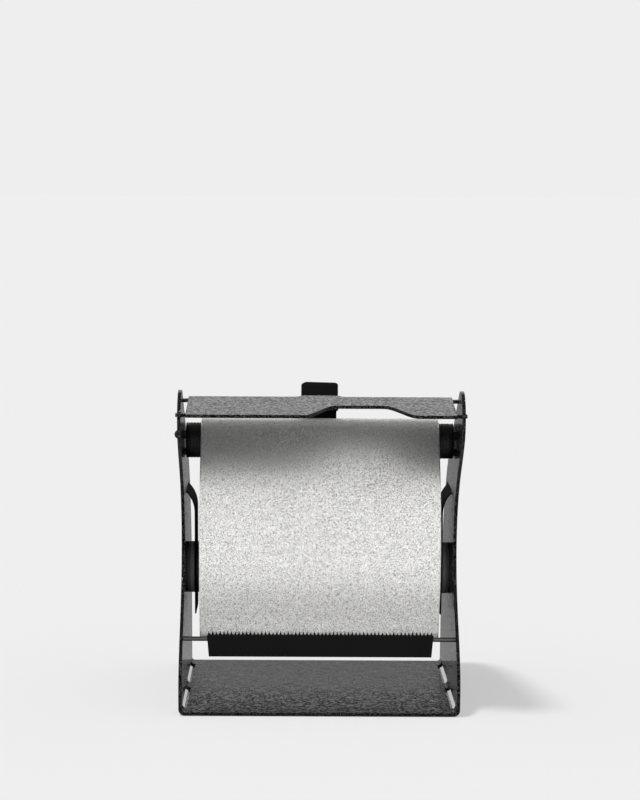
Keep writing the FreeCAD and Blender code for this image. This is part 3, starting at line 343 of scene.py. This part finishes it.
def dress(material, *names):
    for name in names:
        for material_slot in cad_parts[name].material_slots:
            material_slot.material = material


PAINT = hammered_paint("hammered_paint", level=0.003)
FOIL = foil("embossed_foil")
SLEEVE = rubber("dipped_rubber", level=0.004, rough=0.65, shine=0.12)
ROLLER = rubber("roller_rubber", level=0.003, rough=0.42, shine=0.3)
PLUG = rubber("moulded_plug", level=0.03, rough=0.5, shine=0.25)
STRAP = black_paint("strap_paint", level=0.004, rough=0.7, shine=0.03)
CUTTER = black_paint("cutter_paint", level=0.003, rough=0.6, shine=0.12)
STEEL = steel("drawn_steel", level=0.45, rough=0.3)
DARK_STEEL = steel("dark_steel", level=0.10, rough=0.3)
NUT = steel("blackened_nut", level=0.03, rough=0.35)
BOARD = board("wound_board")
PAD = pad_rubber("pad_rubber")

dress(PAINT, "frame", "fold_plate")
dress(FOIL, "foil_roll", "foil_web")
dress(ROLLER, "roller_sleeve", "roller_core")
dress(SLEEVE, "finger_sleeve", "brake_shoe")
dress(STRAP, "roll_arm_left", "roll_arm_right", "brake_lever")
dress(CUTTER, "cutter_bar")
dress(STEEL, "lever_spring", "shoe_rivet", "hub_rivet_left", "hub_rivet_right")
dress(DARK_STEEL, "lever_rod", "lever_rod_clips", "cutter_rod", "roller_axle")
dress(NUT, "axle_nuts")
dress(BOARD, "foil_core")
dress(PAD, "hub_pad_left", "hub_pad_right")
dress(PLUG, "hub_left", "hub_right", "lever_collars")


# Mesh helpers. Lengths are in millimetres until a mesh is made.

def new_piece(name, points, faces, material, smooth=True):
    mesh = bpy.data.meshes.new(name)
    mesh.from_pydata(points, [], faces)
    mesh.materials.append(material)
    bm = bmesh.new()
    bm.from_mesh(mesh)
    bmesh.ops.recalc_face_normals(bm, faces=bm.faces)
    bm.to_mesh(mesh)
    bm.free()
    mesh.shade_smooth() if smooth else mesh.shade_flat()
    piece = bpy.data.objects.new(name, mesh)
    link_to_scene(piece)
    return piece


def finish_piece(piece, body, node):
    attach(piece, body)
    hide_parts(node)


def ring_faces(rows, columns, closed_rows=False):
    """Quads between rows of points, where each row runs round and closes."""
    faces = []
    for row in range(rows if closed_rows else rows - 1):
        after = (row + 1) % rows
        for column in range(columns):
            beside = (column + 1) % columns
            faces.append((row * columns + column, row * columns + beside,
                          after * columns + beside, after * columns + column))
    return faces


def lathe(name, profile, steps, back, height, material, swell=None):
    """Solid of revolution about a line along X, from a closed run of (x, radius).
    swell(x, radius, turn) may change the radius from place to place."""
    points = []
    for x, radius in profile:
        for step in range(steps):
            turn = 2 * math.pi * step / steps
            here = swell(x, radius, turn) if swell else radius
            points.append(at(x, back + here * math.cos(turn), height + here * math.sin(turn)))
    return new_piece(name, points, ring_faces(len(profile), steps, True), material)


def tube(name, path, radius, sides, material):
    """Round wire along a run of points."""
    points = []
    side = Vector((0, 0, 1))
    for index, spot in enumerate(path):
        before = path[max(index - 1, 0)]
        after = path[min(index + 1, len(path) - 1)]
        along = (after - before).normalized()
        side = (side - along * side.dot(along)).normalized()
        other = along.cross(side)
        for step in range(sides):
            turn = 2 * math.pi * step / sides
            points.append(spot + (side * math.cos(turn) + other * math.sin(turn)) * radius * MM)
    faces = ring_faces(len(path), sides)
    faces.append(tuple(range(sides)))
    faces.append(tuple(len(points) - 1 - step for step in range(sides)))
    return new_piece(name, points, faces, material)


def round_edges(piece, width, segments, sharp):
    """Round the edges that turn by more than the given angle in degrees."""
    bevel = piece.modifiers.new("edges", "BEVEL")
    bevel.width = width * MM
    bevel.segments = segments
    bevel.limit_method = "ANGLE"
    bevel.angle_limit = math.radians(sharp)


def softened(node, body, width, material):
    """The CAD node's own shape with its sharp edges rounded."""
    weld = 0.002 * MM
    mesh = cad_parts[node].data.copy()
    bm = bmesh.new()
    bm.from_mesh(mesh)
    bmesh.ops.remove_doubles(bm, verts=bm.verts, dist=weld)
    bmesh.ops.dissolve_limit(bm, angle_limit=math.radians(0.3), verts=bm.verts, edges=bm.edges)
    bm.to_mesh(mesh)
    bm.free()
    mesh.materials.clear()
    mesh.materials.append(material)
    mesh.shade_smooth()
    piece = bpy.data.objects.new(node + "_rounded", mesh)
    link_to_scene(piece)
    round_edges(piece, width, segments=3, sharp=35)
    # Keeps the large faces flat to the light beside their rounded edges.
    flats = piece.modifiers.new("flats", "WEIGHTED_NORMAL")
    flats.mode = "FACE_AREA"
    flats.weight = 100
    finish_piece(piece, body, node)


# Foil. Its points in the side view are given as (back, height).

ROLL = Vector((80.0, 65.3))
ROLL_RADIUS = 40.0
ROLL_BORE = 14.75
ROLLER_MIDDLE = Vector((55.0, 139.05))
ROLLER_RADIUS = 9.5
HALF_FOIL = 63.5
FOIL_GAP = 0.3
FOIL_BODY = 0.25
FOIL_STEP = 0.75
FOIL_LOOP = 11.0
FOIL_LOOP_SHIFT = Vector((-0.9, 0.9))
FOIL_LEAVES = 142
FOIL_BELLY = Vector((14.2, 74.0))
FOIL_END = Vector((22.2, 37.8))


def bezier(poles, count):
    a, b, c, d = poles
    for step in range(1, count + 1):
        t = step / count
        yield a * (1 - t) ** 3 + b * 3 * t * (1 - t) ** 2 + c * 3 * t * t * (1 - t) + d * t ** 3


def evenly_spaced(rough, step):
    """The same run with its points a step apart."""
    spaced = [rough[0]]
    left = step
    for a, b in zip(rough, rough[1:]):
        done = 0.0
        while (b - a).length - done >= left:
            done += left
            left = step
            spaced.append(a + (b - a).normalized() * done)
        left -= (b - a).length - done
    spaced.append(rough[-1])
    return spaced


def foil_path():
    """The free foil's run, straight from the roll, over the roller and down to the cutter."""
    def around(centre, radius, angle):
        return centre + Vector((math.cos(angle), math.sin(angle))) * radius

    roll_path = ROLL_RADIUS + FOIL_GAP + FOIL_BODY / 2
    loop = ROLLER_MIDDLE + FOIL_LOOP_SHIFT
    over = FOIL_LOOP + FOIL_BODY / 2
    line = ROLL - loop
    lean = math.asin((roll_path + over) / line.length)
    first = math.atan2(line.y, line.x) - lean + math.pi / 2
    last = math.radians(FOIL_LEAVES)
    start = around(loop, over, last)
    heading = Vector((-math.sin(last), math.cos(last)))
    drop = Vector((0, 38))
    hang = Vector((0, 14))
    foot = Vector((-0.6, 12))
    rough = [around(ROLL, -roll_path, first)]
    rough += [around(loop, over, first + (last - first) * step / 40) for step in range(41)]
    rough += bezier((start, start + heading * 16, FOIL_BELLY + drop, FOIL_BELLY), 60)
    rough += bezier((FOIL_BELLY, FOIL_BELLY - hang, FOIL_END + foot, FOIL_END), 40)
    return evenly_spaced(rough, FOIL_STEP)


def make_free_foil():
    """Thin embossed sheet with an uneven torn edge at its foot."""
    columns = 170
    layer = 0.06
    emboss_size = 1.1
    emboss_height = 0.045
    tear_size = 0.8
    tear_height = 0.35
    path = foil_path()
    end = len(path) - 1
    points = []
    for side in (-1, 1):
        for row, spot in enumerate(path):
            along = (path[min(row + 1, end)] - path[max(row - 1, 0)]).normalized()
            normal = Vector((along.y, -along.x))
            run = row * FOIL_STEP
            for column in range(columns + 1):
                x = HALF_FOIL * (2 * column / columns - 1)
                place = Vector((x / emboss_size, run / emboss_size, 3.0))
                emboss = noise.noise(place) * emboss_height
                out = spot + normal * (emboss + side * layer / 2)
                if row == end:
                    tear = noise.noise(Vector((x / tear_size, 7.0, 0.0))) * tear_height
                    out = out + Vector((0, tear))
                points.append(at(x, out.x, out.y))
    faces = []
    wide = columns + 1
    count = len(path) * wide
    for row in range(end):
        for column in range(columns):
            a = row * wide + column
            faces.append((a, a + 1, a + wide + 1, a + wide))
            faces.append((count + a, count + a + wide, count + a + wide + 1, count + a + 1))
    rim = list(range(wide))
    rim += [row * wide + columns for row in range(1, len(path))]
    rim += [end * wide + column for column in range(columns - 1, -1, -1)]
    rim += [row * wide for row in range(end - 1, 0, -1)]
    for a, b in zip(rim, rim[1:] + rim[:1]):
        faces.append((a, b, b + count, a + count))
    sheet = new_piece("free_foil", points, faces, FOIL)
    finish_piece(sheet, "stand", "foil_web")


def make_wound_foil():
    """The wound roll. Its turns show as fine uneven rings on its two ends."""
    dice = random.Random(4)
    rings = 70
    uneven = 0.3
    wall = ROLL_RADIUS - ROLL_BORE
    radii = [ROLL_BORE + wall * ring / rings for ring in range(rings + 1)]
    ends = [[HALF_FOIL - uneven * dice.random() for _ in radii] for _ in range(2)]
    profile = [(ends[0][ring], radius) for ring, radius in enumerate(radii)]
    profile += [(x, ROLL_RADIUS) for x in (45, 15, -15, -45)]
    profile += [(-ends[1][ring], radius) for ring, radius in reversed(list(enumerate(radii)))]
    profile += [(x, ROLL_BORE) for x in (-30, 30)]
    roll = lathe("wound_foil", profile, 160, ROLL.x, ROLL.y, FOIL)
    finish_piece(roll, "foil_roll", "foil_roll")


# Roller

def make_roller_sleeve():
    """Rubber sleeve with a grip of small round bumps, and plain bands at its ends."""
    half = 71.7
    band = 2.2
    bore = 6.8
    rim = 0.3
    pitch = 1.6
    around = 36
    depth = 0.3
    rows = 344

    def bumps(x, radius, turn):
        if radius < ROLLER_RADIUS - 0.01 or abs(x) > half - band:
            return radius
        shift = math.pi / 2 * (round(x / pitch) % 2)
        bump = abs(math.cos(math.pi * x / pitch)) * abs(math.cos(around / 2 * turn + shift))
        return radius - depth * (1 - bump ** 0.7)

    grip = half - band - 0.2
    end = [(half - band, ROLLER_RADIUS), (half - rim, ROLLER_RADIUS),
           (half, ROLLER_RADIUS - rim), (half, bore)]
    profile = [(-x, radius) for x, radius in reversed(end)]
    profile += [(-grip + 2 * grip * row / rows, ROLLER_RADIUS) for row in range(rows + 1)]
    profile += end
    sleeve = lathe("grip_sleeve", profile, 144, ROLLER_MIDDLE.x, ROLLER_MIDDLE.y, ROLLER, bumps)
    finish_piece(sleeve, "roller", "roller_sleeve")


# Finger lever

def make_finger_sleeve():
    """Dipped rubber sleeve, thick at its hem and slumped a little to the right at its top."""
    middle = 71.0
    bottom = 153.5
    top = 169.5
    half_wide = 10.0
    half_thick = 2.2
    around = 64
    rows = 30
    dome = 0.1
    dome_inset = 1.4
    hem_swell = 0.25
    hem_height = 1.2
    hem_spread = 0.9
    slump_middle = 0.55
    slump_lean = 0.5
    corner_drop = 0.9
    corner_start = 0.72
    wrinkle_depth = 0.07
    points = []
    for row in range(rows + 1):
        share = row / rows
        height = bottom + (top - bottom) * share
        inset = 0.0
        if share > 1 - dome:
            rise = (share - (1 - dome)) / dome
            inset = dome_inset * (1 - math.sqrt(max(0.0, 1 - rise ** 2)))
        hem = hem_swell * math.exp(-((height - bottom - hem_height) / hem_spread) ** 2)
        half_x = half_wide + hem - inset
        half_y = half_thick + hem - inset
        for step in range(around):
            turn = 2 * math.pi * step / around
            c = math.cos(turn)
            s = math.sin(turn)
            x = half_x * math.copysign(abs(c) ** 0.28, c)
            y = half_y * math.copysign(abs(s) ** 0.55, s)
            slump = -share * share * (slump_middle + slump_lean * x / 20.6)
            corner = max(0.0, -x / half_wide - corner_start) / (1 - corner_start)
            slump -= corner_drop * share ** 6 * corner
            wrinkle = wrinkle_depth * noise.noise(Vector((x / 2.5, y / 2.5, height / 3.0)))
            grow = 1 + wrinkle / max(half_y, 1.0)
            points.append(at(x * (1 + wrinkle / half_wide), middle + y * grow, height + slump))
    faces = ring_faces(rows + 1, around)
    faces.append(tuple(range(around)))
    faces.append(tuple(rows * around + step for step in range(around)))
    sleeve = new_piece("dipped_sleeve", points, faces, SLEEVE)
    finish_piece(sleeve, "brake_lever", "finger_sleeve")


def make_lever_spring():
    """Torsion spring round the lever rod: a pin in the left collar, five turns and a hook
    over the lever."""
    rod = Vector((71.0, 131.0))
    lever_half = 9.25
    lever_sheet = 1.5
    wire = 0.9
    mean = 3.4
    turns = 5
    pitch = 1.4
    leg = 13.0
    bend = 1.0
    corner = bend * 0.94
    pin = 3.0
    hook = 4.0
    last = -lever_half - 0.3 - wire / 2
    first = last - pitch * turns
    rest = lever_sheet / 2 + wire / 2 + 0.05
    begin = math.acos(-rest / math.hypot(mean, leg)) - math.atan2(leg, mean)

    def spot(x, angle, ahead=0.0):
        away = Vector((math.cos(angle), math.sin(angle))) * mean
        away += Vector((-math.sin(angle), math.cos(angle))) * ahead
        return at(x, rod.x + away.x, rod.y + away.y)

    quarter = [math.pi / 2 * step / 6 for step in range(7)]
    tip = leg + wire / 2
    path = [spot(first - corner - pin, begin, ahead=-corner)]
    for turn in quarter:
        ahead = -corner + bend * (1 - math.cos(turn))
        path.append(spot(first - corner + bend * math.sin(turn), begin, ahead))
    for step in range(1, turns * 32):
        path.append(spot(first + pitch * step / 32, begin + 2 * math.pi * step / 32))
    for step in range(1, 10):
        path.append(spot(last, begin, wire + (tip - bend - wire) * step / 9))
    for turn in quarter[1:]:
        ahead = tip - bend + bend * math.sin(turn)
        path.append(spot(last + bend * (1 - math.cos(turn)), begin, ahead))
    path.append(spot(last + bend + hook, begin, tip))
    spring = tube("coil_spring", path, wire / 2, 12, STEEL)
    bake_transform(spring)
    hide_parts("lever_spring")


# Roll arms

def make_pad(side_name, sign):
    """Soft pad between an arm and the side plate, on a firmer ring against the plate."""
    profile = [
        (68.2, 4.5), (68.2, 13.9), (68.5, 14.2), (69.6, 14.15), (70.25, 14.2), (70.4, 14.0),
        (70.55, 14.2), (71.9, 14.2), (72.2, 13.9), (72.2, 4.5),
    ]
    mirrored = [(sign * x, radius) for x, radius in profile]
    pad = lathe("pad_" + side_name, mirrored, 96, ROLL.x, ROLL.y, PAD)
    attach(pad, "stand")
    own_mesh(pad)
    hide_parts("hub_pad_" + side_name)


# Cutter

def make_cutter():
    """Bar with ground teeth along its upper edge, loose on its rod."""
    rod = Vector((18.8, 37.4))
    middle = 0.5
    half = 60.0
    taper = 0.9
    low = rod.y - 9.3
    high = rod.y + 2.1
    front = rod.x - 1.9
    rear = rod.x + 1.9
    blade_rear = front + 1.0
    bar_set_back = 0.06
    tooth = 2.3
    pitch = 2.0
    most_worn = 0.35
    tooth_shape = (
        (0.0, 0.0), (0.15, 0.18), (0.30, 0.52), (0.45, 1.0),
        (0.55, 1.0), (0.70, 0.52), (0.85, 0.18),
    )

    def slab(outline, near, far):
        """A flat slab from an outline in the X and height plane."""
        count = len(outline)
        points = [at(x, near, z) for x, z in outline] + [at(x, far, z) for x, z in outline]
        faces = [tuple(range(count)), tuple(range(2 * count - 1, count - 1, -1))]
        faces += [(a, (a + 1) % count, (a + 1) % count + count, a + count) for a in range(count)]
        return points, faces

    bar = [(middle - half, high), (middle - half + taper, low),
           (middle + half - taper, low), (middle + half, high)]
    teeth = int(2 * half / pitch)
    reach = teeth * pitch / 2
    dice = random.Random(7)
    row = [(middle - reach, high - tooth)]
    for number in range(teeth):
        start = middle - reach + number * pitch
        left = 1 - most_worn * dice.random() ** 2
        row += [(start + across * pitch, high + up * tooth * left) for across, up in tooth_shape]
    row.append((middle + reach, high))
    row.append((middle + reach, high - tooth))

    points, faces = slab(bar, front + bar_set_back, rear)
    more, extra = slab(row, front, blade_rear)
    shift = len(points)
    points += more
    faces += [tuple(index + shift for index in face) for face in extra]
    cutter = new_piece("toothed_bar", points, faces, CUTTER, smooth=False)
    round_edges(cutter, 0.25, segments=2, sharp=60)
    cutter.visible_glossy = False
    finish_piece(cutter, "cutter", "cutter_bar")


make_free_foil()
make_wound_foil()
make_roller_sleeve()
make_finger_sleeve()
make_lever_spring()
make_pad("left", -1)
make_pad("right", 1)
make_cutter()
softened("frame", "stand", 0.35, PAINT)
softened("fold_plate", "fold_plate", 0.35, PAINT)
softened("brake_shoe", "brake_lever", 0.5, SLEEVE)
softened("brake_lever", "brake_lever", 0.2, STRAP)
softened("hub_left", "roll_arm_left", 0.4, PLUG)
softened("hub_right", "roll_arm_right", 0.4, PLUG)
softened("lever_collars", "stand", 0.3, PLUG)
softened("axle_nuts", "stand", 0.15, NUT)


# Studio. Each glow is a run of (position, brightness), from the horizon up to the zenith in
# the world, and from the front backwards on the floor.

BACKGROUND = 0.855
FILL = 0.42
FLOOR_TONE = 0.90
FLOOR_GLOW = 0.863
FLOOR_SHARE = 0.5
FLOOR_REACH = 60.0
FLOOR_DROP = 0.0002
KEY = 1.77
GLINT = 0.25
FRONT_GLINT = 0.15
FROM_ABOVE = (0.30, 0.08, -1.0)
FROM_FRONT = (0.10, 0.75, -0.65)
FRONT_GLOW = (
    (0.0, 1.08), (0.30, 1.12), (0.50, 1.2), (0.66, 1.25), (0.80, 1.0), (0.92, 0.45), (1.0, 0.13),
)
BACK_GLOW = (
    (0.0, 0.22), (0.22, 0.26), (0.32, 1.3), (0.50, 1.3), (0.62, 0.35), (0.75, 0.20), (1.0, 0.10),
)
# Painted reflection of the floor: its glow for glossy rays, from the front backwards.
PAINTED_FLOOR_REFLECTION = ((0.0, 1.13), (0.25, 1.08), (0.42, 0.86), (0.66, 0.36), (1.0, 0.30))


def make_world():
    """Pale to the camera, an even fill for matt surfaces, and a soft studio that glossy
    ones mirror."""
    world = bpy.data.worlds.new("studio")
    bpy.context.scene.world = world
    world.use_nodes = True
    tree = world.node_tree
    tree.nodes.clear()
    rays = add_node(tree, "ShaderNodeLightPath")
    heading = add_node(tree, "ShaderNodeTexCoord")
    split = add_node(tree, "ShaderNodeSeparateXYZ", {"Vector": heading.outputs["Generated"]})
    behind = add_node(tree, "ShaderNodeMapRange", {
        "Value": split.outputs["Y"], "From Min": -0.3, "From Max": 0.3,
    })
    mirrored = add_node(tree, "ShaderNodeMix", {
        "Factor": behind.outputs["Result"],
        "A": add_ramp(tree, split.outputs["Z"], FRONT_GLOW),
        "B": add_ramp(tree, split.outputs["Z"], BACK_GLOW),
    }, data_type="RGBA")
    lit = add_node(tree, "ShaderNodeBackground", {"Color": grey(FILL)})
    shine = add_node(tree, "ShaderNodeBackground", {"Color": mirrored.outputs["Result"]})
    seen = add_node(tree, "ShaderNodeBackground", {"Color": grey(BACKGROUND)})

    def pick(which, otherwise, chosen):
        return add_node(tree, "ShaderNodeMixShader", {
            0: rays.outputs[which], 1: otherwise.outputs[0], 2: chosen.outputs[0],
        })

    final = pick("Is Camera Ray", pick("Is Glossy Ray", lit, shine), seen)
    add_node(tree, "ShaderNodeOutputWorld", {0: final.outputs[0]})


def make_sun(name, energy, spread, towards):
    sun = bpy.data.lights.new(name, "SUN")
    sun.energy = energy
    sun.angle = math.radians(spread)
    lamp = bpy.data.objects.new(name, sun)
    lamp.rotation_euler = Vector(towards).to_track_quat("-Z", "Y").to_euler()
    link_to_scene(lamp)
    return lamp


def make_lamps():
    """A key for everything, and two glints that only the painted sheets mirror."""
    key = make_sun("key", KEY, 9.0, FROM_ABOVE)
    key.visible_glossy = False
    painted = bpy.data.collections.new("painted")
    for name in ("frame_rounded", "fold_plate_rounded"):
        painted.objects.link(bpy.data.objects[name])
    for glint in (make_sun("glint", GLINT, 8.0, FROM_ABOVE),
                  make_sun("front_glint", FRONT_GLINT, 6.0, FROM_FRONT)):
        glint.visible_diffuse = False
        glint.light_linking.receiver_collection = painted


def make_floor():
    """The camera sees part of the floor's own tone, so that the shadow on it stays light.
    Mirrors see it glow instead, bright in front of the object and dim behind it: a painted
    reflection with painted shade behind."""
    mesh = bpy.data.meshes.new("floor")
    corners = [(-1, -1), (1, -1), (1, 1), (-1, 1)]
    points = [(x * FLOOR_REACH, y * FLOOR_REACH, 0) for x, y in corners]
    mesh.from_pydata(points, [], [(0, 1, 2, 3)])
    floor = bpy.data.objects.new("floor", mesh)
    floor.location.z = -FLOOR_DROP
    link_to_scene(floor)
    m = Nodes("floor")
    m.set(color=grey(FLOOR_TONE), roughness=1.0, specular=0.0)
    rays = m.add("ShaderNodeLightPath")
    glossy = rays.outputs["Is Glossy Ray"]
    spot = m.add("ShaderNodeSeparateXYZ", {0: m.place})
    # Painted reflection: for glossy rays the floor glows by this ramp, brighter than its lit tone
    # in front and darkened behind the object as painted shade.
    mirrored = m.ramp(m.span(spot.outputs["Y"], -0.45, 0.35, 0.0, 1.0), PAINTED_FLOOR_REFLECTION)
    tone = m.add("ShaderNodeMix", {"Factor": glossy, "A": FLOOR_GLOW, "B": mirrored})
    glow = m.add("ShaderNodeEmission", {"Strength": tone.outputs["Result"]})
    seen = m.math("MULTIPLY", rays.outputs["Is Camera Ray"], FLOOR_SHARE)
    mixed = m.add("ShaderNodeMixShader", {
        0: m.math("MAXIMUM", seen, glossy), 1: m.shader.outputs[0], 2: glow.outputs[0],
    })
    m.tree.links.new(mixed.outputs[0], m.output.inputs["Surface"])
    mesh.materials.append(m.material)


make_world()
make_lamps()
make_floor()
bpy.context.scene.view_settings.view_transform = "Standard"
